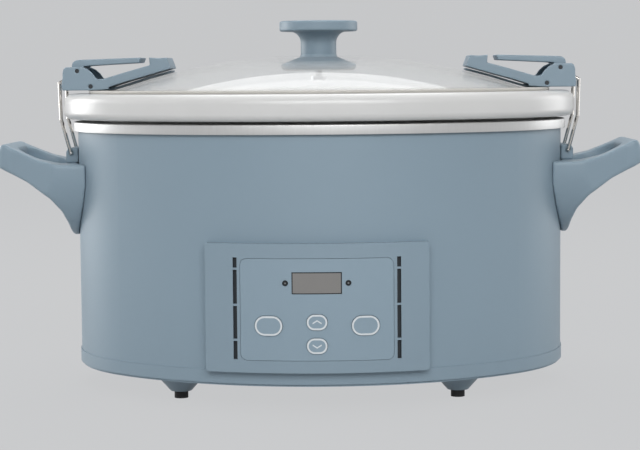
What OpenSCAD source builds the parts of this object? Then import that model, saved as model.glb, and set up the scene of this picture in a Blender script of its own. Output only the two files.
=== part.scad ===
// Oval slow cooker: painted housing, lift-out crock and a latched glass lid.
// Origin at the middle of the footprint, on the surface that the feet stand on.
// X runs from handle to handle, the controls face -Y and +Z is up.

/* [Housing] */
// Half length of the painted housing
housing_half_l = 171; // [165:0.5:205]
// Half depth of the painted housing
housing_half_w = 131; // [126:0.5:136]
// Radius of the housing's rounded ends
end_r = 107; // [103:0.5:112]
// Wall thickness of the housing
shell_wall = 1.5; // [0.8:0.1:2]
// Height of the seam between base and housing
seam_z = 26; // [22:0.5:30]
// Height of the housing's top edge
shell_top_z = 185.6; // [175:0.1:222]

/* [Base and feet] */
// Height of the base's underside
base_z = 16; // [13:0.5:19]
// Distance of the feet from the middle, along X
foot_x = 94; // [80:1:110]
// Distance of the feet from the middle, along Y
foot_y = 75; // [60:1:80]
// Radius of a rubber foot
foot_r = 4.7; // [3.5:0.1:8]
// Height of a rubber foot
foot_h = 5; // [3:0.5:7]

/* [Crock] */
// Thickness of the crock's wall and floor
crock_wall = 6; // [4:0.5:8]
// Gap between the crock and the heating liner
crock_gap = 1.5; // [0.8:0.1:3]
// Height of the crock's underside
crock_floor_z = 48; // [44:0.5:56]
// Overhang of the crock's rim past the housing
rim_overhang = 9.4; // [6:0.2:9.6]
// Height of the rim from its lower edge to its top
rim_h = 17.6; // [12:0.2:20]

/* [Lid] */
// Height of the glass dome
dome_h = 26; // [23:0.5:32]
// Thickness of the glass
glass_t = 4; // [3:0.5:5]
// Radius of the knob's top disc
knob_r = 27.6; // [20:0.2:34]
// Radius of the knob's neck
neck_r = 12.6; // [9:0.2:15]
// Height of the knob's top disc
knob_disc_h = 7.3; // [5:0.1:9]

/* [Handles and latches] */
// Half width of a carry handle
handle_half_w = 46.5; // [42:0.5:50]
// Reach of a handle from the housing's end
handle_reach = 56.5; // [52:0.5:62]
// Radius of the bail wire
wire_r = 1.25; // [1:0.05:1.4]
// Half distance between the legs of a bail
bail_half_w = 16; // [15:0.25:17]
// Radius of the latch pins
pin_r = 1.5; // [1.2:0.1:1.8]

/* [Controls] */
// Half width of the control panel
panel_half_w = 73; // [64:0.5:80]
// Height of the panel's top edge
panel_top_z = 110; // [106:0.5:125]
// How far the panel stands out from the housing
panel_proud = 7; // [6:0.2:8.5]
// Travel of a button
button_travel = 0.8; // [0.4:0.1:1]

/* [Hidden] */
$fn = 96;
big = 600;
seat_gap = 0.25;
fit_gap = 0.05;

// four-centre oval: end circles at (+-oval_c, 0), side circles at (0, +-oval_k)
oval_c = housing_half_l - end_r;
side_r = (oval_c * oval_c + housing_half_w * housing_half_w - end_r * end_r)
    / (2 * (housing_half_w - end_r));
oval_k = side_r - housing_half_w;
oval_turn = atan2(oval_k, oval_c);

// heights that follow one another up the housing
collar_t = 1;
collar_top_z = shell_top_z + collar_t;
collar_skirt = 3;
rim_z = collar_top_z + 1.8;
rim_top_z = rim_z + rim_h;

// offsets from the housing's outline, inwards negative
liner_t = 1;
liner_d = -16;
crock_d = liner_d - liner_t - crock_gap;
crock_in_d = crock_d - crock_wall;
liner_floor_z = crock_floor_z - liner_t;
rim_deck = 8;

// lid
gasket_out_d = -8;
gasket_h = 2.2;
gasket_top_z = rim_top_z + gasket_h;
glass_z = rim_top_z + 1;
glass_d = crock_in_d + 0.5;
glass_a = housing_half_l + glass_d;
glass_b = housing_half_w + glass_d;
apex_z = glass_z + dome_h;
well_r = 27;
well_wall = 3;
well_floor_z = apex_z - 12;
knob_seat_t = 0.8;
knob_base_z = well_floor_z + knob_seat_t;
knob_split_z = apex_z - 0.2;
knob_top_z = apex_z + 23;
screw_r = 2.4;

// latches, measured from the housing's end and the rim's top
end_x = housing_half_l;
cheek_in = bail_half_w + 2.5;
cheek_out = cheek_in + 2.5;
lever_half_w = cheek_in - 0.6;
frame_z = gasket_top_z + seat_gap;
lever_pin = [end_x - 1.8, rim_top_z + 16];
clip_pin = [end_x - 11.2, rim_top_z + 5.2];
bail_foot = [end_x + 4.2, shell_top_z - 21.4];
bail_elbow = [end_x + rim_overhang + 1.2, rim_z - 0.4];
bail_knee = [end_x + rim_overhang + 1.9, rim_top_z + 7.6];
bail_top = [end_x + 6.5, rim_top_z + 10.5];
tongue_z = bail_top[1] - wire_r - 0.45;

// handles
handle_top_z = shell_top_z - 28.1;
handle_tip_z = handle_top_z - 52;
handle_end_x = end_x + handle_reach;
anchor_x0 = end_x - 0.8;
anchor_x1 = end_x + 8;
anchor_half_w = bail_half_w - wire_r - 0.45;
hole_r = 16;
hole_x = end_x + 25;
hole_half_w = 13.5;
handle_screw_y = 28;
handle_screw_z = handle_top_z - 17.5;

// control panel
fascia_half_w = 49.9;
fascia_z0 = seam_z + 8;
fascia_z1 = panel_top_z - 9.4;
fascia_t = 1.2;
ledge = 2.9;
vent_x = 53.2;
vent_half_w = 1.3;
vent_cuts = [[0.5, 12.6], [13.9, 35.4], [36.7, 59], [60.3, 67]];
display_size = [32, 13.8];
display_pos = [0, panel_top_z - 25.4];
led_pos = [[-20.4, display_pos[1]], [20.4, display_pos[1]]];
led_r = 1.7;
wide_button = [18, 12.8];
small_button = [13.4, 10.2];
button_left_pos = [-31.4, display_pos[1] - 27.7];
button_right_pos = [31.4, display_pos[1] - 27.7];
button_up_pos = [0, display_pos[1] - 25.3];
button_down_pos = [0, display_pos[1] - 40.7];
button_proud = 0.9;
board_y = -(housing_half_w - 6);
board_t = 1.6;
board_half_w = 43.5;
board_z0 = fascia_z0 + ledge + 1.5;
board_z1 = fascia_z1 - ledge - 1.5;
switch_h = 2.2;
button_back_y = board_y - switch_h - button_travel - 0.1;

// parts under the liner
post_pos = [[-62, -48], [62, -48], [-62, 48], [62, 48]];
post_r = 5;
base_floor_t = 2;
base_wall = 2.2;
boss_r = 17;
boss_h = base_z - foot_h;
sensor_r = 9;
sensor_h = 6;

// cord inlet
inlet_z = seam_z + 18;
inlet_r = 4;

// ---- shared shapes ----

// wedge from a corner, reaching far out between two angles
module wedge(from, to) {
    polygon([[0, 0], big * [cos(from), sin(from)],
        big * [cos((from + to) / 2), sin((from + to) / 2)], big * [cos(to), sin(to)]]);
}

// the housing's outline, moved outwards by d
module oval(d) {
    for (turn = [0, 180])
        rotate(turn) {
            translate([oval_c, 0])
                intersection() {
                    circle(end_r + d);
                    wedge(-oval_turn, oval_turn);
                }
            translate([0, -oval_k])
                intersection() {
                    circle(side_r + d, $fn = 192);
                    wedge(oval_turn, 180 - oval_turn);
                }
        }
}

// solid oval between two heights
module slab(d, z0, z1) {
    translate([0, 0, z0])
        linear_extrude(z1 - z0)
            oval(d);
}

// oval wall between two offsets and two heights
module wall(d_out, d_in, z0, z1) {
    difference() {
        slab(d_out, z0, z1);
        slab(d_in, z0 - 1, z1 + 1);
    }
}

// stands an outline drawn in X and Z upright, from y0 to y1
module upright(y0, y1) {
    translate([0, y1, 0])
        rotate([90, 0, 0])
            linear_extrude(y1 - y0)
                children();
}

// rounded rectangle by its two corners
module round_rect(x0, z0, x1, z1, r) {
    translate([x0 + r, z0])
        square([x1 - x0 - 2 * r, z1 - z0]);
    translate([x0, z0 + r])
        square([x1 - x0, z1 - z0 - 2 * r]);
    for (x = [x0 + r, x1 - r], z = [z0 + r, z1 - r])
        translate([x, z])
            circle(r, $fn = 32);
}

// pill outline about a place
module pill(pos, size, grow = 0) {
    r = size[1] / 2 + grow;
    half = (size[0] - size[1]) / 2;
    translate(pos) {
        square([2 * half, 2 * r], center = true);
        for (s = [-1, 1])
            translate([s * half, 0])
                circle(r, $fn = 48);
    }
}

// straight rod along Y
module rod_y(x, z, y0, y1, r) {
    translate([x, y0, z])
        rotate([-90, 0, 0])
            cylinder(r = r, h = y1 - y0, $fn = 48);
}

// rod along X, on the right-hand side
module rod_x(y, z, x0, x1, r) {
    translate([x0, y, z])
        rotate([0, 90, 0])
            cylinder(r = r, h = x1 - x0, $fn = 48);
}

// straight wire between two points of the X-Z plane, at y
module wire(p, q, y) {
    run = q - p;
    translate([p[0], y, p[1]])
        rotate([0, atan2(run[0], run[1]), 0])
            cylinder(r = wire_r, h = norm(run), $fn = 32);
}

// side 1 is the right-hand end, side -1 the left
module at_side(side) {
    mirror([side < 0 ? 1 : 0, 0, 0])
        children();
}

// ---- housing ----

module outer_shell() {
    color([0.51, 0.58, 0.63])
        difference() {
            wall(0, -shell_wall, seam_z, shell_top_z);
            // window behind the control panel
            translate([-fascia_half_w + ledge, -housing_half_w - 2, fascia_z0 + ledge])
                cube([2 * (fascia_half_w - ledge), 40, fascia_z1 - fascia_z0 - 2 * ledge]);
            rod_y(0, inlet_z, housing_half_w - 10, housing_half_w + 5, inlet_r + 2.05);
            for (side = [-1, 1], y = [-1, 1])
                at_side(side)
                    rod_x(y * handle_screw_y, handle_screw_z, end_x - 15, end_x + 5, 2.05);
        }
}

module rim_collar() {
    color("silver") {
        wall(collar_skirt, collar_skirt - 1, shell_top_z - 5.8, collar_top_z - 0.4);
        wall(collar_skirt - 0.5, liner_d + 1, shell_top_z, collar_top_z);
    }
}

module heating_liner() {
    color("lightgray")
        difference() {
            union() {
                slab(liner_d, liner_floor_z, shell_top_z - liner_t);
                slab(liner_d + 6, shell_top_z - liner_t, shell_top_z);
            }
            slab(liner_d - liner_t, crock_floor_z, shell_top_z + 1);
        }
}

module heating_band() {
    color("darkgray")
        wall(liner_d + 2.5, liner_d, crock_floor_z + 8, crock_floor_z + 58);
}

module base_pan() {
    color([0.47, 0.54, 0.59])
        difference() {
            union() {
                slab(0.7 - 1.5, base_z, base_z + 1.5);
                slab(0.7, base_z + 1.5, seam_z);
            }
            slab(0.7 - base_wall, base_z + base_floor_t, seam_z + 1);
            for (p = post_pos)
                translate([p[0], p[1], base_z - 1])
                    cylinder(r = 2.1, h = base_floor_t + 2, $fn = 48);
            for (i = [-4 : 4])
                translate([i * 9 - 1.5, -25, base_z - 1])
                    cube([3, 50, base_floor_t + 2]);
        }
}

module foot_bosses() {
    color([0.47, 0.54, 0.59])
        for (x = [-1, 1], y = [-1, 1])
            translate([x * foot_x, y * foot_y, foot_h])
                difference() {
                    cylinder(r1 = foot_r + 2.5, r2 = boss_r, h = boss_h);
                    translate([0, 0, -1])
                        cylinder(r = foot_r / 2 + fit_gap, h = 8, $fn = 48);
                }
}

module rubber_feet() {
    color("black")
        for (x = [-1, 1], y = [-1, 1])
            translate([x * foot_x, y * foot_y, 0]) {
                cylinder(r = foot_r, h = foot_h, $fn = 48);
                cylinder(r = foot_r / 2, h = foot_h + 6.5, $fn = 48);
            }
}

module base_screws() {
    color("silver")
        for (p = post_pos)
            translate([p[0], p[1], base_z - 2])
                difference() {
                    union() {
                        cylinder(r = 4, h = 2, $fn = 48);
                        cylinder(r = 2, h = 14, $fn = 48);
                    }
                    translate([-3, -0.5, -1])
                        cube([6, 1, 1.8]);
                }
}

module liner_posts() {
    color("gray")
        for (p = post_pos)
            translate([p[0], p[1], base_z + base_floor_t])
                difference() {
                    cylinder(r = post_r, h = liner_floor_z - base_z - base_floor_t, $fn = 48);
                    translate([0, 0, -1])
                        cylinder(r = 2 + fit_gap, h = 15, $fn = 48);
                }
}

module temperature_sensor() {
    color("dimgray")
        translate([0, 0, liner_floor_z - sensor_h])
            cylinder(r = sensor_r, h = sensor_h);
}

module sensor_bracket() {
    color("silver") {
        for (s = [-1, 1])
            translate([s * 22 - 1, -6, liner_floor_z - sensor_h])
                cube([2, 12, sensor_h]);
        translate([-23, -6, liner_floor_z - sensor_h - 1.5])
            cube([46, 12, 1.5]);
    }
}

module thermal_fuse() {
    color("white")
        rod_x(-(housing_half_w + liner_d + 2.5 + 2.5), crock_floor_z + 30, -10, 10, 2.4);
}

module power_board() {
    color("darkgreen") {
        translate([-34, 26, base_z + base_floor_t + 5])
            cube([68, 44, 1.6]);
        for (x = [-29, 29], y = [31, 65])
            translate([x, y, base_z + base_floor_t])
                cylinder(r = 3, h = 5, $fn = 32);
    }
}

module power_parts() {
    color("dimgray")
        for (p = [[-27, 33, 16, 15, 14], [-5, 33, 13, 17, 11], [16, 34, 10, 22, 9]])
            translate([p[0], p[1], base_z + base_floor_t + 6.6])
                cube([p[2], p[3], p[4]]);
}

module cord_inlet() {
    color("black")
        difference() {
            union() {
                rod_y(0, inlet_z, housing_half_w, housing_half_w + 3, inlet_r + 4);
                rod_y(0, inlet_z, housing_half_w - 5, housing_half_w, inlet_r + 2);
                rod_y(0, inlet_z, housing_half_w - 5, housing_half_w - shell_wall - 0.3,
                    inlet_r + 3.6);
            }
            rod_y(0, inlet_z, housing_half_w - 7, housing_half_w + 5, inlet_r);
        }
}

// ---- controls ----

// what lies between two offsets in front, inside an upright outline
module front_skin(d_out, d_in) {
    intersection() {
        wall(d_out, d_in, seam_z, panel_top_z);
        upright(-housing_half_w - 20, 0)
            children();
    }
}

module fascia_holes(grow) {
    for (p = led_pos)
        translate(p)
            circle(led_r + grow, $fn = 32);
    pill(button_left_pos, wide_button, grow);
    pill(button_right_pos, wide_button, grow);
    pill(button_up_pos, small_button, grow);
    pill(button_down_pos, small_button, grow);
    translate(display_pos)
        square(display_size + 2 * grow * [1, 1], center = true);
}

module vent_outline(side) {
    for (cut = vent_cuts)
        translate([side * vent_x - vent_half_w, fascia_z0 + cut[0]])
            square([2 * vent_half_w, cut[1] - cut[0]]);
}

module control_bezel() {
    color([0.51, 0.58, 0.63])
        difference() {
            front_skin(panel_proud, 0)
                round_rect(-panel_half_w, seam_z, panel_half_w, panel_top_z, 2);
            front_skin(panel_proud + 1, panel_proud - fascia_t)
                round_rect(-fascia_half_w, fascia_z0, fascia_half_w, fascia_z1, 4.5);
            upright(-housing_half_w - 20, 0)
                translate([-fascia_half_w + ledge, fascia_z0 + ledge])
                    square([2 * (fascia_half_w - ledge), fascia_z1 - fascia_z0 - 2 * ledge]);
            front_skin(panel_proud + 1, panel_proud - 4)
                for (side = [-1, 1])
                    vent_outline(side);
        }
}

module vent_strip(side) {
    color([0.12, 0.15, 0.17])
        front_skin(panel_proud - 2, panel_proud - 4)
            vent_outline(side);
}

module control_fascia() {
    color([0.54, 0.61, 0.66]) {
        difference() {
            front_skin(panel_proud, panel_proud - fascia_t)
                round_rect(-fascia_half_w + seat_gap, fascia_z0 + seat_gap,
                    fascia_half_w - seat_gap, fascia_z1 - seat_gap, 4.3);
            upright(-housing_half_w - 20, 0)
                fascia_holes(seat_gap);
        }
        intersection() {
            slab(panel_proud - fascia_t, fascia_z0, fascia_z1);
            for (x = [-1, 1], z = [board_z0 + 4, board_z1 - 4])
                difference() {
                    rod_y(x * (board_half_w - 4), z, -housing_half_w - 10, board_y, 2.6);
                    rod_y(x * (board_half_w - 4), z, board_y - 5, board_y + 1, 1.2 + fit_gap);
                }
        }
    }
}

module display_window() {
    color([0.5, 0.5, 0.49])
        front_skin(panel_proud - 0.1, panel_proud - fascia_t - 0.6)
            translate(display_pos)
                square(display_size, center = true);
}

module display_module() {
    color("dimgray")
        translate([-display_size[0] / 2 - 2, board_y - 9.6, display_pos[1] - 9])
            cube([display_size[0] + 4, 9.6, 18]);
}

module indicator(i) {
    color("black")
        intersection() {
            slab(panel_proud + 0.1, seam_z, panel_top_z);
            rod_y(led_pos[i][0], led_pos[i][1], -housing_half_w - 10, board_y, led_r);
        }
}

module control_board() {
    color("darkgreen")
        difference() {
            translate([-board_half_w, board_y, board_z0])
                cube([2 * board_half_w, board_t, board_z1 - board_z0]);
            for (x = [-1, 1], z = [board_z0 + 4, board_z1 - 4])
                rod_y(x * (board_half_w - 4), z, board_y - 1, board_y + 5, 1.3);
        }
}

module board_screws() {
    color("silver")
        for (x = [-1, 1], z = [board_z0 + 4, board_z1 - 4]) {
            rod_y(x * (board_half_w - 4), z, board_y + board_t, board_y + board_t + 1.4, 2.4);
            rod_y(x * (board_half_w - 4), z, board_y - 4.5, board_y + board_t, 1.2);
        }
}

module button_switches() {
    color("black")
        for (p = [button_left_pos, button_right_pos, button_up_pos, button_down_pos]) {
            translate([p[0] - 3, board_y - switch_h + 0.8, p[1] - 3])
                cube([6, switch_h - 0.8, 6]);
            rod_y(p[0], p[1], board_y - switch_h, board_y - switch_h + 0.8, 1.6);
        }
}

module button(pos, size) {
    color([0.54, 0.61, 0.66])
        intersection() {
            slab(panel_proud + button_proud, seam_z, panel_top_z);
            upright(-housing_half_w - 20, button_back_y)
                pill(pos, size);
        }
}

// ---- handles and bails ----

module handle(side) {
    color([0.51, 0.58, 0.63])
        at_side(side)
            difference() {
                intersection() {
                    upright(-handle_half_w, handle_half_w)
                        polygon([[end_x - 30, handle_top_z], [end_x + 9, handle_top_z],
                            [end_x + 25, handle_top_z + 4], [end_x + 38, handle_top_z + 9.6],
                            [handle_end_x - 8.5, handle_top_z + 14.2],
                            [handle_end_x - 5.5, handle_top_z + 13.8],
                            [handle_end_x, handle_top_z + 0.8],
                            [handle_end_x - 2, handle_top_z - 1.6],
                            [end_x + 32, handle_top_z - 12.4], [end_x + 16, handle_top_z - 23.5],
                            [end_x + 8.4, handle_top_z - 33], [end_x + 5.5, handle_top_z - 41],
                            [end_x + 4.5, handle_tip_z], [end_x - 30, handle_tip_z]]);
                    // front outline: straight sides over a half round
                    translate([end_x - 40, 0, handle_tip_z + handle_half_w])
                        rotate([0, 90, 0])
                            linear_extrude(110) {
                                circle(handle_half_w);
                                translate([-30, -handle_half_w])
                                    square([30, 2 * handle_half_w]);
                            }
                    // plan outline: a round-nosed loop
                    translate([0, 0, handle_tip_z - 1])
                        linear_extrude(80) {
                            polygon([[end_x - 30, -handle_half_w], [end_x + 12, -handle_half_w],
                                [handle_end_x - 12, -handle_half_w + 12],
                                [handle_end_x - 12, handle_half_w - 12],
                                [end_x + 12, handle_half_w], [end_x - 30, handle_half_w]]);
                            round_rect(handle_end_x - 30, -handle_half_w + 11.5,
                                handle_end_x, handle_half_w - 11.5, 12);
                        }
                }
                slab(0, 0, 250);
                // finger opening
                translate([hole_x, 0, 0])
                    linear_extrude(250) {
                        square([2 * hole_r, 2 * hole_half_w], center = true);
                        for (s = [-1, 1])
                            translate([0, s * hole_half_w])
                                circle(hole_r);
                    }
                for (y = [-1, 1])
                    rod_x(y * handle_screw_y, handle_screw_z, end_x - 15, end_x + 8.5, 2);
            }
}

module handle_screws() {
    color("silver")
        for (side = [-1, 1], y = [-1, 1])
            at_side(side) {
                rod_x(y * handle_screw_y, handle_screw_z, end_x - 10, end_x + 8, 1.95);
                rod_x(y * handle_screw_y, handle_screw_z, end_x - 10, end_x - 7, 3.8);
            }
}

module bail_anchor(side) {
    color([0.4, 0.47, 0.52])
        at_side(side)
            difference() {
                upright(-anchor_half_w, anchor_half_w) {
                    translate([anchor_x0, handle_top_z])
                        square([anchor_x1 - anchor_x0, bail_foot[1] - handle_top_z]);
                    translate(bail_foot)
                        circle(anchor_x1 - bail_foot[0], $fn = 64);
                    translate([anchor_x0, handle_top_z])
                        square([bail_foot[0] - anchor_x0,
                            bail_foot[1] - handle_top_z + anchor_x1 - bail_foot[0]]);
                }
                slab(seat_gap, 0, 250);
                rod_y(bail_foot[0], bail_foot[1], -50, 50, wire_r + fit_gap);
            }
}

module bail(side) {
    color("silver")
        at_side(side) {
            for (s = [-1, 1]) {
                y = s * bail_half_w;
                wire(bail_foot, bail_elbow, y);
                wire(bail_elbow, bail_knee, y);
                wire(bail_knee, bail_top, y);
                for (p = [bail_foot, bail_elbow, bail_knee, bail_top])
                    translate([p[0], y, p[1]])
                        sphere(wire_r + 0.03, $fn = 32);
            }
            rod_y(bail_top[0], bail_top[1], -bail_half_w, bail_half_w, wire_r);
            rod_y(bail_foot[0], bail_foot[1], -bail_half_w, -6, wire_r);
            rod_y(bail_foot[0], bail_foot[1], 6, bail_half_w, wire_r);
        }
}

// ---- crock and lid ----

module crock() {
    color([0.86, 0.86, 0.85])
        difference() {
            union() {
                slab(crock_d - 2, crock_floor_z, rim_top_z - 2);
                slab(crock_d, crock_floor_z + 2, rim_top_z - 2);
                slab(rim_overhang - 2.5, rim_z, rim_top_z);
                slab(rim_overhang - 0.7, rim_z + 1.5, rim_top_z - 1);
                slab(rim_overhang, rim_z + 4, rim_top_z - 3.5);
            }
            // hollow under the rim, open downwards
            wall(rim_overhang - 8, crock_d, rim_z - 1, rim_top_z - rim_deck);
            slab(crock_in_d, crock_floor_z + crock_wall, rim_top_z + 1);
        }
}

// dome of a given size, from the seat upwards
module dome(a, b, h) {
    cap_r = (a * a + h * h) / (2 * h);
    translate([0, 0, glass_z])
        scale([1, b / a, 1])
            intersection() {
                translate([0, 0, h - cap_r])
                    sphere(cap_r, $fn = 180);
                cylinder(r = a + 5, h = h + 5);
            }
}

module lid_glass() {
    color([0.85, 0.9, 0.92, 0.4])
        difference() {
            union() {
                difference() {
                    dome(glass_a, glass_b, dome_h);
                    dome(glass_a - glass_t, glass_b - glass_t, dome_h - glass_t);
                    translate([0, 0, well_floor_z])
                        cylinder(r = well_r + 1, h = 40);
                }
                intersection() {
                    dome(glass_a, glass_b, dome_h);
                    translate([0, 0, well_floor_z - glass_t])
                        difference() {
                            cylinder(r = well_r + well_wall, h = 40);
                            translate([0, 0, glass_t])
                                cylinder(r = well_r, h = 40);
                        }
                }
            }
            translate([0, 0, glass_z - 1])
                cylinder(r = screw_r + 0.6, h = 40, $fn = 48);
        }
}

module lid_gasket() {
    color([0.78, 0.77, 0.74])
        difference() {
            union() {
                slab(gasket_out_d, rim_top_z, gasket_top_z - 0.6);
                slab(gasket_out_d - 0.8, rim_top_z, gasket_top_z);
                slab(crock_in_d - 0.8, rim_top_z - 6, rim_top_z + 1);
            }
            slab(crock_in_d + 2.7, glass_z, gasket_top_z + 1);
            slab(crock_in_d - 3.5, rim_top_z - 7, gasket_top_z + 1);
        }
}

module lid_knob() {
    flare = 8;
    neck_top = knob_top_z - knob_disc_h;
    color([0.51, 0.58, 0.63])
        difference() {
            rotate_extrude()
                difference() {
                    union() {
                        square([neck_r, neck_top + 1]);
                        translate([0, neck_top - flare])
                            square([neck_r + flare, flare]);
                        translate([0, neck_top])
                            square([knob_r - 1.5, knob_disc_h]);
                        translate([0, neck_top + 1.5])
                            square([knob_r, knob_disc_h - 3]);
                        for (z = [neck_top + 1.5, knob_top_z - 1.5])
                            translate([knob_r - 1.5, z])
                                circle(1.5, $fn = 32);
                    }
                    translate([neck_r + flare, neck_top - flare])
                        circle(flare, $fn = 64);
                    translate([0, -1])
                        square([big, knob_split_z + 1]);
                }
            translate([0, 0, knob_split_z - 1])
                cylinder(r = screw_r, h = 13, $fn = 48);
        }
}

module knob_base() {
    flange_r = well_r - 0.5;
    color([0.51, 0.58, 0.63])
        rotate_extrude()
            polygon([[screw_r + 0.1, knob_base_z], [flange_r - 1.5, knob_base_z],
                [flange_r, knob_base_z + 1.5], [flange_r, knob_base_z + 3.6],
                [neck_r + 4, knob_split_z - 3.4], [neck_r + 0.8, knob_split_z - 2.2],
                [neck_r, knob_split_z], [screw_r + 0.1, knob_split_z]]);
}

module knob_gasket() {
    color("gray")
        translate([0, 0, well_floor_z])
            difference() {
                cylinder(r = well_r - 3, h = knob_seat_t);
                translate([0, 0, -1])
                    cylinder(r = screw_r + 0.6, h = 3, $fn = 48);
            }
}

module knob_screw() {
    head_z = well_floor_z - glass_t;
    color("silver")
        difference() {
            union() {
                translate([0, 0, head_z - 3])
                    cylinder(r = 5.5, h = 3, $fn = 48);
                translate([0, 0, head_z - 1])
                    cylinder(r = screw_r - fit_gap, h = knob_split_z + 11 - head_z, $fn = 48);
            }
            translate([-4, -0.6, head_z - 4])
                cube([8, 1.2, 2.2]);
        }
}

// height of the glass over the middle line
function dome_z(x) = glass_z + dome_h * (1 - (x / glass_a) * (x / glass_a));

module latch_clip(side) {
    x0 = end_x - 67.5;
    x1 = end_x - 50.4;
    x2 = end_x - 35.4;
    x3 = end_x - 25.5;
    clip_t = 1.4;
    lift = 0.6;
    color([0.47, 0.54, 0.59])
        at_side(side)
            difference() {
                upright(-12, 12)
                    polygon([[x0, dome_z(x0) + lift], [x1, dome_z(x1) + lift],
                        [x2, dome_z(x2) + lift], [x3, dome_z(x3) + lift + 0.4],
                        [x3 + 4, gasket_top_z], [end_x - 8, gasket_top_z],
                        [end_x - 8, clip_pin[1] + 2.5], [end_x - 19.3, clip_pin[1] + 2.5],
                        [end_x - 19.3, gasket_top_z + clip_t],
                        [x3, dome_z(x3) + lift + 0.4 + clip_t], [x2, dome_z(x2) + lift + clip_t],
                        [x1, dome_z(x1) + lift + clip_t], [x0, dome_z(x0) + lift + clip_t]]);
                rod_y(clip_pin[0], clip_pin[1], -20, 20, pin_r + 0.02);
            }
}

module latch_frame(side) {
    color([0.51, 0.58, 0.63])
        at_side(side)
            difference() {
                union() {
                    for (y = [-cheek_out, cheek_in])
                        upright(y, y + cheek_out - cheek_in)
                            cheek_outline();
                    upright(-cheek_out, cheek_out)
                        arm_outline();
                    // shelf and tongue that the wire bail bears on
                    upright(-cheek_in - 1, cheek_in + 1)
                        translate([end_x - 5, frame_z])
                            square([9.8, tongue_z - frame_z]);
                    upright(-bail_half_w + wire_r + 0.45, bail_half_w - wire_r - 0.45)
                        translate([end_x + 4, frame_z + 2])
                            square([5, tongue_z - frame_z - 2]);
                }
                rod_y(lever_pin[0], lever_pin[1], -30, 30, pin_r + 0.02);
                rod_y(clip_pin[0], clip_pin[1], -30, 30, pin_r + 0.02);
            }
}

module cheek_outline() {
    top = rim_top_z + 18.8;
    polygon([[end_x - 24, frame_z + 0.8], [end_x - 15.3, frame_z], [end_x + 8.8, frame_z],
        [end_x + 9.4, frame_z + 3], [end_x + 8.5, rim_top_z + 11.4],
        [end_x + 8.5, top - 3.8], [end_x + 7.6, top - 1.2], [end_x + 6, top],
        [end_x - 6, top], [end_x - 9.7, top - 1.8], [end_x - 12.8, top - 4.6],
        [end_x - 14.7, top - 7.4], [end_x - 16, top - 8.5], [end_x - 21.5, top - 8.3]]);
}

// sloping arm with its raised thumb rest
module arm_outline() {
    z = rim_top_z;
    polygon([[end_x - 20, frame_z + 2], [end_x - 20, z + 10.4], [end_x - 38, z + 15.7],
        [end_x - 53, z + 19.8], [end_x - 52.5, z + 25.2], [end_x - 58.8, z + 24.6],
        [end_x - 65, z + 25], [end_x - 67.8, z + 17.4], [end_x - 50.4, z + 12.4],
        [end_x - 35.4, z + 8.2], [end_x - 24, z + 4.6]]);
}

module latch_pins() {
    color("silver")
        for (side = [-1, 1], p = [lever_pin, clip_pin])
            at_side(side)
                rod_y(p[0], p[1], -cheek_out + 0.3, cheek_out - 0.3, pin_r);
}

module latch_lever(side) {
    z = rim_top_z;
    color([0.51, 0.58, 0.63])
        at_side(side)
            difference() {
                upright(-lever_half_w, lever_half_w) {
                    translate(lever_pin)
                        circle(3.2, $fn = 48);
                    polygon([[lever_pin[0] - 3, lever_pin[1]], [lever_pin[0] + 3, lever_pin[1]],
                        [lever_pin[0] + 4.2, z + 19.6], [lever_pin[0] + 3.4, z + 22],
                        [lever_pin[0] + 1.4, z + 23.5], [lever_pin[0] - 1, z + 23.9],
                        [end_x - 46.5, z + 25.2], [end_x - 45.2, z + 21.5],
                        [end_x - 12.8, z + 19.8], [lever_pin[0] - 4.5, z + 19.4]]);
                }
                rod_y(lever_pin[0], lever_pin[1], -30, 30, pin_r + fit_gap);
            }
}

outer_shell();
rim_collar();
heating_liner();
heating_band();
base_pan();
foot_bosses();
rubber_feet();
base_screws();
liner_posts();
temperature_sensor();
sensor_bracket();
thermal_fuse();
power_board();
power_parts();
control_bezel();
control_fascia();
display_window();
display_module();
indicator(0);  // indicator_left
indicator(1);  // indicator_right
control_board();
board_screws();
button_switches();
vent_strip(-1);  // vent_strip_left
vent_strip(1);  // vent_strip_right
handle(-1);  // handle_left
handle(1);  // handle_right
handle_screws();
bail_anchor(-1);  // bail_anchor_left
bail_anchor(1);  // bail_anchor_right
cord_inlet();
crock();
lid_glass();
lid_gasket();
lid_knob();
knob_base();
knob_gasket();
knob_screw();
latch_clip(-1);  // latch_clip_left
latch_clip(1);  // latch_clip_right
latch_frame(-1);  // latch_frame_left
latch_frame(1);  // latch_frame_right
latch_pins();
latch_lever(-1);  // latch_lever_left
latch_lever(1);  // latch_lever_right
bail(-1);  // bail_left
bail(1);  // bail_right
button(button_left_pos, wide_button);  // button_left
button(button_right_pos, wide_button);  // button_right
button(button_up_pos, small_button);  // button_up
button(button_down_pos, small_button);  // button_down
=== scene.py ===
# %% [markdown]
# # An oval slow cooker
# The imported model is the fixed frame: every piece here takes its size and place from it.
# CAD nodes whose shape is already right stay and get a finish. Pieces whose soft edges
# matter, such as the glazed rim, the dome and the moulded handles, are remade and replace
# their nodes.

# %% Load the frame
import math
import bpy
import bmesh
from mathutils import Matrix, Vector


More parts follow.
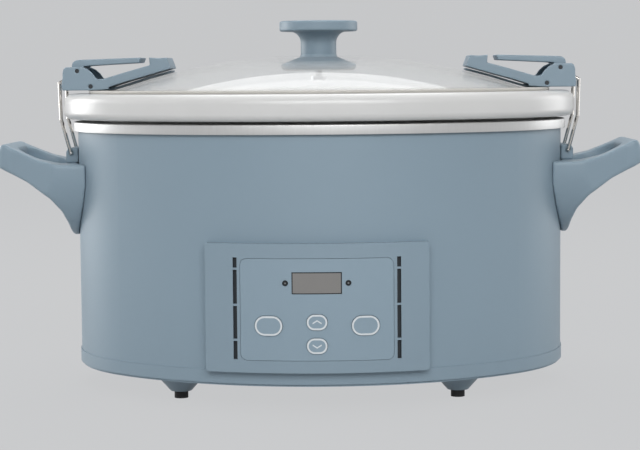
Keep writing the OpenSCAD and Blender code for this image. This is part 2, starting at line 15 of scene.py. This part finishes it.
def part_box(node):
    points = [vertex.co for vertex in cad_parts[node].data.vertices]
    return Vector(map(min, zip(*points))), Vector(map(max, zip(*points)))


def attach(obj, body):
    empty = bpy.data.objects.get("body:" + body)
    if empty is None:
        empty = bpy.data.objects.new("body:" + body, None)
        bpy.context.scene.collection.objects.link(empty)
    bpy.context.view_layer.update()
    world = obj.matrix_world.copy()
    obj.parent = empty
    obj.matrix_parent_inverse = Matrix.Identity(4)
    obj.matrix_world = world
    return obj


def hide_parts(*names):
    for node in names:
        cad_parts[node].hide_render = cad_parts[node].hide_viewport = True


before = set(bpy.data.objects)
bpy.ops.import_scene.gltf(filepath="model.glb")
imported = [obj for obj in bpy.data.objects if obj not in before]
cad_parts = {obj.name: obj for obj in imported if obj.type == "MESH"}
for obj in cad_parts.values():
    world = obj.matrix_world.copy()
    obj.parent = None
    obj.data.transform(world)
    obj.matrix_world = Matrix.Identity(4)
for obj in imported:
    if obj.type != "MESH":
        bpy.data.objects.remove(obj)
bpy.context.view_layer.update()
bpy.ops.object.select_all(action="DESELECT")
MM = 0.001

# %% [markdown]
# The camera and the lights come first, so that each piece is seen as it is made. The cooker
# is seen nearly level from the front, through a long lens. The pale floor and the wall
# behind it share one finish, so that no horizon shows.

# %% Camera
EYE_DISTANCE = 1.33
EYE_HEIGHT = 0.220
EYE_TURN = math.radians(1.0)
EYE_PITCH = math.radians(4.69)
EYE_ROLL = math.radians(0.47)
LENS = 104.9
SENSOR = 36
FAR = 20
camera_data = bpy.data.cameras.new("camera")
camera_data.lens = LENS
camera_data.sensor_width = SENSOR
camera_data.clip_end = FAR
camera = bpy.data.objects.new("camera", camera_data)
bpy.context.scene.collection.objects.link(camera)
camera.location = (
    EYE_DISTANCE * math.sin(EYE_TURN), -EYE_DISTANCE * math.cos(EYE_TURN), EYE_HEIGHT)
look = Vector((
    -math.sin(EYE_TURN) * math.cos(EYE_PITCH),
    math.cos(EYE_TURN) * math.cos(EYE_PITCH),
    -math.sin(EYE_PITCH)))
camera.rotation_mode = "QUATERNION"
camera.rotation_quaternion = look.to_track_quat("-Z", "Y") @ Matrix.Rotation(
    -EYE_ROLL, 3, "Z").to_quaternion()
bpy.context.scene.camera = camera
bpy.context.scene.view_settings.view_transform = "Standard"
print("camera at", [round(v, 3) for v in camera.location])

# %% [markdown]
# Finishes are written as expressions. A Socket wraps a node's output, so that + - * < and >
# build Math nodes, and Finish.node adds any other node with its settings and inputs.

# %% Shader helper
class Socket:
    """One node output, with arithmetic."""

    def __init__(self, finish, out):
        self.finish = finish
        self.out = out

    def _math(self, operation, a, b=None):
        values = {0: a} if b is None else {0: a, 1: b}
        return self.finish.node("ShaderNodeMath", {"operation": operation}, values)

    def __add__(self, other):
        return self._math("ADD", self, other)

    def __sub__(self, other):
        return self._math("SUBTRACT", self, other)

    def __mul__(self, other):
        return self._math("MULTIPLY", self, other)

    def __lt__(self, other):
        return self._math("LESS_THAN", self, other)

    def __gt__(self, other):
        return self._math("GREATER_THAN", self, other)

    def __abs__(self):
        return self._math("ABSOLUTE", self)

    def most(self, other):
        return self._math("MAXIMUM", self, other)

    def length_with(self, other):
        return self._math("SQRT", self * self + other * other)

    __radd__ = __add__
    __rmul__ = __mul__


class Finish:
    """A material under construction, ending in one Principled shader."""

    def __init__(self, name, **shader):
        self.material = bpy.data.materials.new(name)
        self.material.use_nodes = True
        self.tree = self.material.node_tree
        self.shader = self.tree.nodes["Principled BSDF"]
        self.set(**shader)
        self.place = self.node("ShaderNodeTexCoord", {}, {}, "Object")

    def node(self, kind, settings, values, output=0):
        made = self.tree.nodes.new(kind)
        for key, value in settings.items():
            setattr(made, key, value)
        for key, value in values.items():
            self.put(made.inputs[key], value)
        return Socket(self, made.outputs[output])

    def put(self, socket, value):
        if isinstance(value, Socket):
            self.tree.links.new(value.out, socket)
        elif isinstance(value, tuple) and len(value) == 3 and socket.type == "RGBA":
            socket.default_value = (*value, 1)
        else:
            socket.default_value = value

    def set(self, **values):
        for key, value in values.items():
            self.put(self.shader.inputs[key.replace("_", " ")], value)

    def noise(self, scale, detail=3, stretch=(1, 1, 1)):
        spread = self.node("ShaderNodeMapping", {}, {"Vector": self.place, "Scale": stretch})
        return self.node("ShaderNodeTexNoise", {}, {
            "Vector": spread, "Scale": scale, "Detail": detail})

    def axes(self):
        split = self.node("ShaderNodeSeparateXYZ", {}, {"Vector": self.place})
        return [Socket(self, out) for out in split.out.node.outputs]

    def blend(self, factor, a, b):
        """Colour a where the factor is 0 and colour b where it is 1."""
        made = self.tree.nodes.new("ShaderNodeMix")
        made.data_type = "RGBA"
        self.put(made.inputs["Factor"], factor)
        self.put(made.inputs[6], a)
        self.put(made.inputs[7], b)
        return Socket(self, made.outputs[2])

    def bump(self, height, distance, strength=1.0):
        self.set(Normal=self.node("ShaderNodeBump", {}, {
            "Height": height, "Distance": distance, "Strength": strength}))


def shade(colour, factor):
    return tuple(min(1.0, part * factor) for part in colour)


# %% [markdown]
# The studio: a pale floor and backdrop that the camera sees as an even grey, and large soft
# lamps over the front, the top and the back. A brighter lamp on each side draws the light
# strip down that end of the housing, and a wide faint card beside it fills the reflections.

# %% Floor and lamps
BACKDROP = (0.59, 0.597, 0.607)
BACKDROP_GLOW = 0.94
SHEET_SIZE = 14
WALL_Y = 4
FLOOR_GAP = 0.2 * MM
LAMP_AIM = Vector((0, 0, 0.12))


def backdrop_finish():
    finish = Finish("studio_backdrop", Base_Color=(0.5, 0.505, 0.51), Roughness=0.95)
    path = finish.node("ShaderNodeLightPath", {}, {}).out.node.outputs
    seen = Socket(finish, path["Is Camera Ray"])
    for ray in ("Is Glossy Ray", "Is Transmission Ray"):
        seen = seen.most(Socket(finish, path[ray]))
    glow = finish.node("ShaderNodeEmission", {}, {"Color": BACKDROP, "Strength": 1.0})
    lit = Socket(finish, finish.shader.outputs[0])
    mixed = finish.node("ShaderNodeMixShader", {}, {0: seen * BACKDROP_GLOW, 1: lit, 2: glow})
    finish.tree.links.new(mixed.out, finish.tree.nodes["Material Output"].inputs["Surface"])
    return finish.material


def studio_sheet(name, location, turn):
    bpy.ops.mesh.primitive_plane_add(size=SHEET_SIZE, location=location, rotation=turn)
    sheet = bpy.context.object
    sheet.name = name
    sheet.data.materials.append(backdrop)


def lamp(name, size, power, location):
    data = bpy.data.lights.new(name, "AREA")
    data.shape = "RECTANGLE"
    data.size, data.size_y = size
    data.energy = power
    source = bpy.data.objects.new(name, data)
    bpy.context.scene.collection.objects.link(source)
    source.location = location
    source.rotation_mode = "QUATERNION"
    source.rotation_quaternion = (LAMP_AIM - Vector(location)).to_track_quat("-Z", "Y")


backdrop = backdrop_finish()
studio_sheet("studio_floor", (0, 0, -FLOOR_GAP), (0, 0, 0))
studio_sheet("studio_wall", (0, WALL_Y, 0), (math.pi / 2, 0, 0))
lamp("front_soft", (1.8, 1.0), 29.5, (0.15, -2.0, 1.15))
lamp("top_soft", (1.6, 1.2), 9, (0, 0.1, 1.6))
lamp("back_soft", (1.1, 0.6), 8, (0, 1.2, 1.6))
lamp("left_soft", (0.9, 1.2), 17, (-1.5, 0.7, 0.35))
lamp("right_soft", (0.9, 1.2), 8, (1.5, 0.7, 0.35))
lamp("left_card", (2.4, 1.2), 3.5, (-1.5, -0.3, 0.4))
lamp("right_card", (2.4, 1.2), 2, (1.5, -0.3, 0.4))
world = bpy.data.worlds.new("studio_world")
bpy.context.scene.world = world
world.use_nodes = True
sky = world.node_tree.nodes["Background"]
sky.inputs["Color"].default_value = (0.6, 0.605, 0.615, 1)
sky.inputs["Strength"].default_value = 0.55
print("studio ready")

# %% [markdown]
# The housing's outline is a four-centre oval: round ends and flatter sides that meet
# smoothly. All walls are offsets of that outline, so one ring of points serves them all.

# %% The oval
_, shell_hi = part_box("outer_shell")
HALF_L = shell_hi.x
HALF_W = shell_hi.y
END_R = 107 * MM
OVAL_C = HALF_L - END_R
SIDE_R = (OVAL_C ** 2 + HALF_W ** 2 - END_R ** 2) / (2 * (HALF_W - END_R))
OVAL_K = SIDE_R - HALF_W
TURN = math.atan2(OVAL_K, OVAL_C)
RING = 160
SMOOTH_ANGLE = math.radians(50)


def oval_point(angle, offset, z):
    """A point on the outline moved outwards by offset, where its normal has this angle."""
    c, s = math.cos(angle), math.sin(angle)
    if abs(s) < math.sin(TURN):
        reach = END_R + offset
        return Vector((math.copysign(OVAL_C, c) + reach * c, reach * s, z))
    reach = SIDE_R + offset
    return Vector((reach * c, reach * s - math.copysign(OVAL_K, s), z))


def ellipse_point(angle, size, z):
    """A point on the ellipse with these two half sizes."""
    return Vector((size[0] * math.cos(angle), size[1] * math.sin(angle), z))


print("oval", round(OVAL_C, 4), round(SIDE_R, 4), round(OVAL_K, 4))


# %% Rings: a circle is extruded again and again, and each new loop is put in its place
def deselect():
    if bpy.context.object and bpy.context.object.mode != "OBJECT":
        bpy.ops.object.mode_set(mode="OBJECT")
    bpy.ops.object.select_all(action="DESELECT")


def ring_piece(name, stations, closed, place=oval_point):
    """Extrudes a loop through stations (offset, height).

    A closed piece joins its last loop to its first; any other gets a face over each end.
    """
    deselect()
    bpy.ops.mesh.primitive_circle_add(vertices=RING, radius=0.1)
    piece = bpy.context.object
    piece.name = name
    bpy.ops.object.mode_set(mode="EDIT")
    mesh = bmesh.from_edit_mesh(piece.data)
    mesh.verts.ensure_lookup_table()
    angles = [2 * math.pi * i / RING for i in range(RING)]
    for vert, angle in zip(mesh.verts, angles):
        vert.co = place(angle, *stations[0])
    for offset, height in stations[1:]:
        bpy.ops.mesh.extrude_region_move()
        mesh = bmesh.from_edit_mesh(piece.data)
        fresh = [vert for vert in mesh.verts if vert.select]
        for vert, angle in zip(fresh, angles):
            vert.co = place(angle, offset, height)
    if closed:
        bpy.ops.mesh.select_all(action="DESELECT")
        mesh = bmesh.from_edit_mesh(piece.data)
        for edge in mesh.edges:
            edge.select = edge.is_boundary
        bpy.ops.mesh.bridge_edge_loops()
    else:
        bpy.ops.mesh.select_all(action="SELECT")
        for edge in bmesh.from_edit_mesh(piece.data).edges:
            edge.select = edge.is_boundary
        bpy.ops.mesh.fill_holes(sides=0)
    bpy.ops.mesh.select_all(action="SELECT")
    bpy.ops.mesh.normals_make_consistent(inside=False)
    bpy.ops.object.mode_set(mode="OBJECT")
    deselect()
    piece.select_set(True)
    bpy.context.view_layer.objects.active = piece
    bpy.ops.object.shade_smooth_by_angle(angle=SMOOTH_ANGLE)
    return piece


def arc(centre, radius, start, end, steps):
    """Stations on an arc of the section, angles in degrees."""
    points = []
    for i in range(steps + 1):
        angle = math.radians(start + (end - start) * i / steps)
        points.append((
            centre[0] + radius * math.cos(angle), centre[1] + radius * math.sin(angle)))
    return points


def finished(piece, material, body, slot, *nodes):
    """Gives a piece its finish and its body, and hides the nodes that it stands for. The slot
    is not used.
    """
    piece.data.materials.clear()
    piece.data.materials.append(material)
    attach(piece, body)
    if nodes:
        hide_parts(*nodes)
    print(piece.name, len(piece.data.polygons), "faces on", body)
    return piece


# %% [markdown]
# ## Finishes
# The housing is sheet metal with a satin powder coat: one blue-grey, hardly any pattern,
# and a very fine grain that breaks up the reflections. The moulded parts share the colour,
# a shade darker and with a slightly coarser grain. Fine noise on a bump node serves both.

# %% Blue paint and plastics
BLUE = (0.225, 0.302, 0.362)


def satin(name, colour, roughness, grain, depth):
    """Even colour with faint clouds, and a fine grain in gloss and bump."""
    finish = Finish(name, Roughness=roughness, Specular_IOR_Level=0.45)
    cloud = finish.noise(9, 2)
    speck = finish.noise(grain, 2)
    finish.set(Base_Color=finish.blend(cloud, shade(colour, 0.97), shade(colour, 1.03)))
    finish.set(Roughness=roughness + (speck - 0.5) * 0.08)
    finish.bump(speck, depth)
    return finish


paint = satin("housing_paint", BLUE, 0.46, 1500, 0.00002).material
plastic = satin("moulded_plastic", shade(BLUE, 0.98), 0.44, 1100, 0.00004).material
clip_plastic = satin("clip_plastic", shade(BLUE, 0.8), 0.5, 1100, 0.00004).material
print("blue finishes made")


# %% Metals, rubber and small parts
def metal(name, colour, roughness, stretch, depth):
    """Bare metal whose brushed lines run along the least stretched axis."""
    finish = Finish(name, Metallic=1.0)
    hairline = finish.noise(60, 4, stretch)
    finish.set(Base_Color=finish.blend(hairline, shade(colour, 0.92), shade(colour, 1.06)))
    finish.set(Roughness=roughness + (hairline - 0.5) * 0.12)
    finish.bump(hairline, depth)
    return finish.material


def plain(name, colour, roughness, grain=700, depth=0.00003):
    return satin(name, colour, roughness, grain, depth).material


collar_steel = metal("brushed_collar", (0.64, 0.64, 0.635), 0.5, (30, 30, 1.5), 0.00001)
wire_steel = metal("polished_wire", (0.72, 0.69, 0.65), 0.16, (6, 6, 1), 0.000005)
plain_steel = metal("zinc_steel", (0.55, 0.55, 0.56), 0.35, (4, 4, 4), 0.00001)
liner_metal = metal("drawn_aluminium", (0.75, 0.75, 0.75), 0.38, (1, 1, 14), 0.00001)
band_metal = metal("heater_sheet", (0.45, 0.44, 0.43), 0.5, (1, 1, 8), 0.00002)
rubber = plain("black_rubber", (0.012, 0.012, 0.013), 0.75, 500, 0.00006)
dark_part = plain("dark_part", (0.02, 0.025, 0.03), 0.5)
fuse_white = plain("fuse_ceramic", (0.75, 0.73, 0.68), 0.6)
board_green = plain("board_mask", (0.02, 0.11, 0.05), 0.35)
silicone = plain("gasket_silicone", (0.50, 0.485, 0.455), 0.55, 420, 0.00004)
print("metals and rubber made")


# %% [markdown]
# Stoneware glaze is a coat over a pale body, a touch wavy, with tiny specks. The coat gives
# the soft highlight along the rim and the noise keeps it from looking like plastic. The lid
# is clear glass, which shows more where it is seen edge-on.

# %% Glaze and glass
CLEAR_R = 50 * MM
CLEAR_FADE = 12 * MM


def glaze():
    finish = Finish("pale_glaze", Roughness=0.32, Coat_Weight=0.4, Coat_Roughness=0.3)
    speck = finish.noise(900, 2)
    wave = finish.noise(26, 2)
    body = finish.blend(wave, (0.57, 0.57, 0.563), (0.62, 0.62, 0.613))
    finish.set(Base_Color=finish.blend((speck > 0.74) * 0.35, body, (0.5, 0.48, 0.45)))
    finish.bump(wave, 0.0002, 0.5)
    return finish.material


def clear_glass():
    finish = Finish("lid_glass", Base_Color=(0.84, 0.86, 0.865), Coat_Weight=0.5,
                    Coat_Roughness=0.02, Specular_IOR_Level=0.5)
    smear = finish.noise(12, 2)
    edge_on = finish.node("ShaderNodeLayerWeight", {}, {"Blend": 0.35}, "Facing")
    across, along, _ = finish.axes()
    # near the knob the glass doesn't thicken to the eye, so that the knob's foot is seen
    spread = across * across + along * along
    away = finish.node("ShaderNodeMapRange", {}, {
        "Value": spread, "From Min": CLEAR_R ** 2, "From Max": (CLEAR_R + CLEAR_FADE) ** 2})
    finish.set(Roughness=0.04 + smear * 0.05, Alpha=0.07 + away * (edge_on * 0.36))
    finish.bump(finish.noise(5, 1), 0.0001, 0.3)
    return finish.material


stoneware = glaze()
glass = clear_glass()
print("glaze and glass made")

# %% [markdown]
# ## Housing
# The painted wall and the base keep their CAD shapes. The steel collar round the top is
# remade as a thin closed ring: a skirt outside, a rolled shoulder and a flat flange inwards.

# %% Steel collar
collar_lo, collar_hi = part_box("rim_collar")
SKIRT_IN = 2 * MM
SKIRT_OUT = 3 * MM
SKIRT_EDGE = 0.4 * MM
SHOULDER = 1.1 * MM
FLANGE_IN = -15 * MM
FLANGE_T = 1 * MM
collar_edge = ring_piece(
    "steel_collar",
    [(SKIRT_IN, collar_lo.z), (SKIRT_OUT - SKIRT_EDGE, collar_lo.z)]
    + arc((SKIRT_OUT - SKIRT_EDGE, collar_lo.z + SKIRT_EDGE), SKIRT_EDGE, -90, 0, 4)[1:]
    + arc((SKIRT_OUT - SHOULDER, collar_hi.z - SHOULDER), SHOULDER, 0, 90, 8)
    + [(FLANGE_IN, collar_hi.z), (FLANGE_IN, collar_hi.z - FLANGE_T),
       (SKIRT_IN, collar_hi.z - FLANGE_T)],
    closed=True)
finished(collar_edge, collar_steel, "housing", "steel_collar", "rim_collar")

# %% [markdown]
# ## Crock
# The pot has a thick rounded rim that overhangs the housing. Its section is drawn once,
# from the middle of the floor outside, round the rim and back to the floor inside.

# %% Crock
crock_lo, crock_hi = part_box("crock")
RIM = crock_hi.x - HALF_L
RIM_LOW = 188.4 * MM
RIM_WALL = 8 * MM
RIM_ROUND = 6.5 * MM
RIM_TUCK = 5 * MM
WALL_OUT = -18.5 * MM
WALL = 6 * MM
WALL_IN = WALL_OUT - WALL
FOOT_ROUND = 6 * MM
LIP_ROUND = 3 * MM
BOWL_ROUND = 14 * MM
FLOOR_T = 6 * MM
FLOOR_IN = -60 * MM
rim_top = crock_hi.z
floor_z = crock_lo.z
crock_section = (
    [(FLOOR_IN, floor_z), (WALL_OUT - FOOT_ROUND, floor_z)]
    + arc((WALL_OUT - FOOT_ROUND, floor_z + FOOT_ROUND), FOOT_ROUND, -90, 0, 6)[1:]
    + [(WALL_OUT, rim_top - 12 * MM)]
    + arc((WALL_OUT + 4 * MM, rim_top - 12 * MM), 4 * MM, 180, 90, 5)[1:]
    + [(RIM - 10 * MM, rim_top - RIM_WALL), (RIM - RIM_WALL, rim_top - 10 * MM),
       (RIM - RIM_WALL, RIM_LOW + 2 * MM)]
    + arc((RIM - 6 * MM, RIM_LOW + 2 * MM), 2 * MM, 180, 270, 4)[1:]
    + arc((RIM - RIM_TUCK, RIM_LOW + RIM_TUCK), RIM_TUCK, -90, 0, 8)[1:]
    + arc((RIM - RIM_ROUND, rim_top - RIM_ROUND), RIM_ROUND, 0, 90, 9)
    + [(WALL_IN + LIP_ROUND, rim_top)]
    + arc((WALL_IN + LIP_ROUND, rim_top - LIP_ROUND), LIP_ROUND, 90, 180, 5)[1:]
    + arc((WALL_IN - BOWL_ROUND, floor_z + FLOOR_T + BOWL_ROUND), BOWL_ROUND, 0, -90, 8)
    + [(FLOOR_IN, floor_z + FLOOR_T)])
crock_pot = ring_piece("crock_pot", crock_section, closed=False)
finished(crock_pot, stoneware, "crock", "crock_glaze", "crock")

# %% [markdown]
# ## Lid
# The silicone edge is a soft ring. The dome is pressed glass with a shallow well for the
# knob, made from ellipse rings outside and inside, joined at the seat and at the knob's
# hole.

# %% Gasket and dome
gasket_lo, gasket_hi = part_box("lid_gasket")
glass_lo, glass_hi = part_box("lid_glass")
seat_z = glass_lo.z
BAND_IN = -28 * MM
BAND_OUT = gasket_hi.x - HALF_L
BAND_ROUND = 1.1 * MM
BAND_FOOT = -25.3 * MM
LIP_IN = -21.8 * MM
LIP_EDGE = 0.6 * MM
rest_z = rim_top + 0.02 * MM
gasket = ring_piece(
    "lid_edge_band",
    [(BAND_IN, seat_z), (BAND_IN, gasket_lo.z), (BAND_FOOT, gasket_lo.z), (BAND_FOOT, rest_z),
     (BAND_OUT - 0.6 * MM, rest_z)]
    + arc((BAND_OUT - BAND_ROUND, gasket_hi.z - BAND_ROUND), BAND_ROUND, 0, 90, 6)
    + [(LIP_IN + LIP_EDGE, gasket_hi.z), (LIP_IN, gasket_hi.z - LIP_EDGE), (LIP_IN, seat_z)],
    closed=True)
finished(gasket, silicone, "lid", "gasket_silicone", "lid_gasket")

DOME = 26 * MM
GLASS = 4 * MM
GLASS_A, GLASS_B = glass_hi.x, glass_hi.y
RING_STEP = 0.05
HOLE_R = 3 * MM
WELL_R = 27.6 * MM
WELL_LIP = 34 * MM
WELL_DEPTH = 12 * MM
LIP_DROP = 1.6 * MM
apex = seat_z + DOME
lip_z = apex - LIP_DROP
well_z = apex - WELL_DEPTH + 0.02 * MM


def dome_stations(inset, rise):
    """Rings from the rim up to the well's lip, as ((half length, half depth), height)."""
    a, b = GLASS_A - inset, GLASS_B - inset
    rings = []
    for i in range(20):
        share = 1 - RING_STEP * i
        if a * share > WELL_LIP + 6 * MM and b * share > WELL_LIP + 2 * MM:
            rings.append(((a * share, b * share), seat_z + rise * (1 - share * share)))
    return rings


def well_station(radius, z):
    return (radius, radius), z


outer = dome_stations(0, DOME)
inner = dome_stations(GLASS, DOME - GLASS)
well_out = [
    well_station(WELL_LIP, lip_z), well_station(WELL_R + 2 * MM, lip_z - 1.4 * MM),
    well_station(WELL_R, lip_z - 5 * MM), well_station(WELL_R - 0.4 * MM, well_z),
    well_station(HOLE_R, well_z)]
well_in = [
    well_station(HOLE_R, well_z - GLASS), well_station(WELL_R, well_z - GLASS),
    well_station(WELL_R + 2.6 * MM, well_z - GLASS + 2 * MM),
    ((WELL_LIP + 1 * MM, WELL_LIP), lip_z - GLASS)]
dome = ring_piece("glass_dome", outer + well_out + well_in + inner[::-1], closed=True,
                  place=ellipse_point)
finished(dome, glass, "lid", "lid_glass", "lid_glass")
print("dome from", round(seat_z, 4), "to", round(apex, 4))

# %% [markdown]
# ## Moulded parts
# Handles, latch frames, levers, clips and anchors are injection moulded, so their edges are
# soft. Each starts as a merged copy of its CAD solid, which is remeshed finely and relaxed,
# so that corners round off as they would in a mould.


# %% Softened copies
def softened(node, name, voxel, relax, material, body):
    """A finely remeshed and relaxed copy that stands for the node."""
    deselect()
    piece = bpy.data.objects.new(name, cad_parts[node].data.copy())
    bpy.context.scene.collection.objects.link(piece)
    piece.select_set(True)
    bpy.context.view_layer.objects.active = piece
    bpy.ops.object.mode_set(mode="EDIT")
    bpy.ops.mesh.select_all(action="SELECT")
    bpy.ops.mesh.remove_doubles(threshold=0.00001)
    bpy.ops.object.mode_set(mode="OBJECT")
    remesh = piece.modifiers.new("voxels", "REMESH")
    remesh.mode = "VOXEL"
    remesh.voxel_size = voxel
    bpy.ops.object.modifier_apply(modifier="voxels")
    ease = piece.modifiers.new("relax", "SMOOTH")
    ease.factor = 0.5
    ease.iterations = relax
    bpy.ops.object.modifier_apply(modifier="relax")
    bpy.ops.object.shade_smooth()
    finished(piece, material, body, "blue_plastic", node)


for side in ("left", "right"):
    softened(f"handle_{side}", f"carry_handle_{side}", 0.9 * MM, 26, plastic, "housing")
    softened(f"bail_anchor_{side}", f"anchor_{side}", 0.45 * MM, 5, plastic, "housing")
    softened(f"latch_frame_{side}", f"frame_{side}", 0.4 * MM, 5, plastic, "lid")
    softened(f"latch_clip_{side}", f"clip_{side}", 0.4 * MM, 3, clip_plastic, "lid")
    softened(f"latch_lever_{side}", f"lever_{side}", 0.4 * MM, 5, plastic, f"lever_{side}")

# %% [markdown]
# ## Carried-over CAD nodes
# These shapes are already right, and each is given its finish.


# %% Finishes on CAD nodes
def dress(material, *nodes):
    for node in nodes:
        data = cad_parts[node].data
        data.materials.clear()
        data.materials.append(material)


dress(paint, "outer_shell")
dress(plastic, "base_pan", "foot_bosses", "control_bezel", "lid_knob", "knob_base")
dress(liner_metal, "heating_liner")
dress(band_metal, "heating_band")
dress(rubber, "rubber_feet", "cord_inlet")
dress(plain_steel, "base_screws", "liner_posts", "sensor_bracket", "board_screws",
      "handle_screws", "knob_screw")
dress(dark_part, "latch_pins", "temperature_sensor", "power_parts", "display_module",
      "button_switches", "vent_strip_left", "vent_strip_right")
dress(fuse_white, "thermal_fuse")
dress(board_green, "power_board", "control_board")
dress(silicone, "knob_gasket")
dress(wire_steel, "bail_left", "bail_right")

# %% [markdown]
# ## Control panel
# The printed outlines of the keys belong to the surface, not to its shape, so they are drawn
# by the finish: the distance to a pill outline, measured in the plane of the panel, gives a
# crisp pale ring at any size.


# %% Keys, lights and display
def panel_place(node):
    lo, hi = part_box(node)
    return (lo + hi) / 2, hi - lo


def pill_distance(x, z, centre, size):
    """Distance outside the outline of a pill, negative inside."""
    straight = (size.x - size.z) / 2
    along = (abs(x - centre.x) - straight).most(0.0)
    return along.length_with(z - centre.z) - size.z / 2


PALE_PRINT = (0.62, 0.66, 0.68)
KEY_BLUE = shade(BLUE, 1.04)
LIGHT_RIM = (0.012, 0.014, 0.016)
LENS_GREY = (0.21, 0.205, 0.198)
LENS_EDGE = 0.45 * MM
PRINT_OUT = -0.1 * MM
PRINT_IN = -1.25 * MM
CHEVRON_HALF = 2.9 * MM
CHEVRON_PEAK = 1.1 * MM
CHEVRON_SLOPE = 0.62
CHEVRON_STROKE = 0.45 * MM


def key_finish(node, chevron):
    """A key with its outline, and an arrow: 1 points up, -1 down and 0 draws none."""
    centre, size = panel_place(node)
    finish = satin(f"{node}_finish", KEY_BLUE, 0.45, 1100, 0.00003)
    x, _, z = finish.axes()
    edge = pill_distance(x, z, centre, size)
    mask = (edge > PRINT_IN) * (edge < PRINT_OUT)
    if chevron:
        run = abs(x - centre.x)
        level = z - centre.z - CHEVRON_PEAK * chevron + run * (CHEVRON_SLOPE * chevron)
        mask = mask.most((abs(level) < CHEVRON_STROKE) * (run < CHEVRON_HALF))
    finish.set(Base_Color=finish.blend(mask, KEY_BLUE, PALE_PRINT))
    return finish.material


def light_finish(node):
    centre, _ = panel_place(node)
    finish = satin(f"{node}_finish", LIGHT_RIM, 0.25, 900, 0.00002)
    x, _, z = finish.axes()
    away = (x - centre.x).length_with(z - centre.z)
    finish.set(Base_Color=finish.blend(away < 0.55 * MM, LIGHT_RIM, (0.16, 0.17, 0.17)))
    return finish.material


def display_finish():
    centre, size = panel_place("display_window")
    finish = satin("display_lens", LENS_GREY, 0.22, 900, 0.00001)
    x, _, z = finish.axes()
    across = abs(x - centre.x) < size.x / 2 - LENS_EDGE
    upward = abs(z - centre.z) < size.z / 2 - LENS_EDGE
    finish.set(Base_Color=finish.blend(across * upward, (0.03, 0.032, 0.035), LENS_GREY))
    return finish.material


for name, chevron in (("left", 0), ("right", 0), ("up", 1), ("down", -1)):
    dress(key_finish(f"button_{name}", chevron), f"button_{name}")
for node in ("indicator_left", "indicator_right"):
    dress(light_finish(node), node)
dress(display_finish(), "display_window")
dress(satin("fascia", shade(BLUE, 1.05), 0.42, 1000, 0.00003).material, "control_fascia")
print("panel dressed")
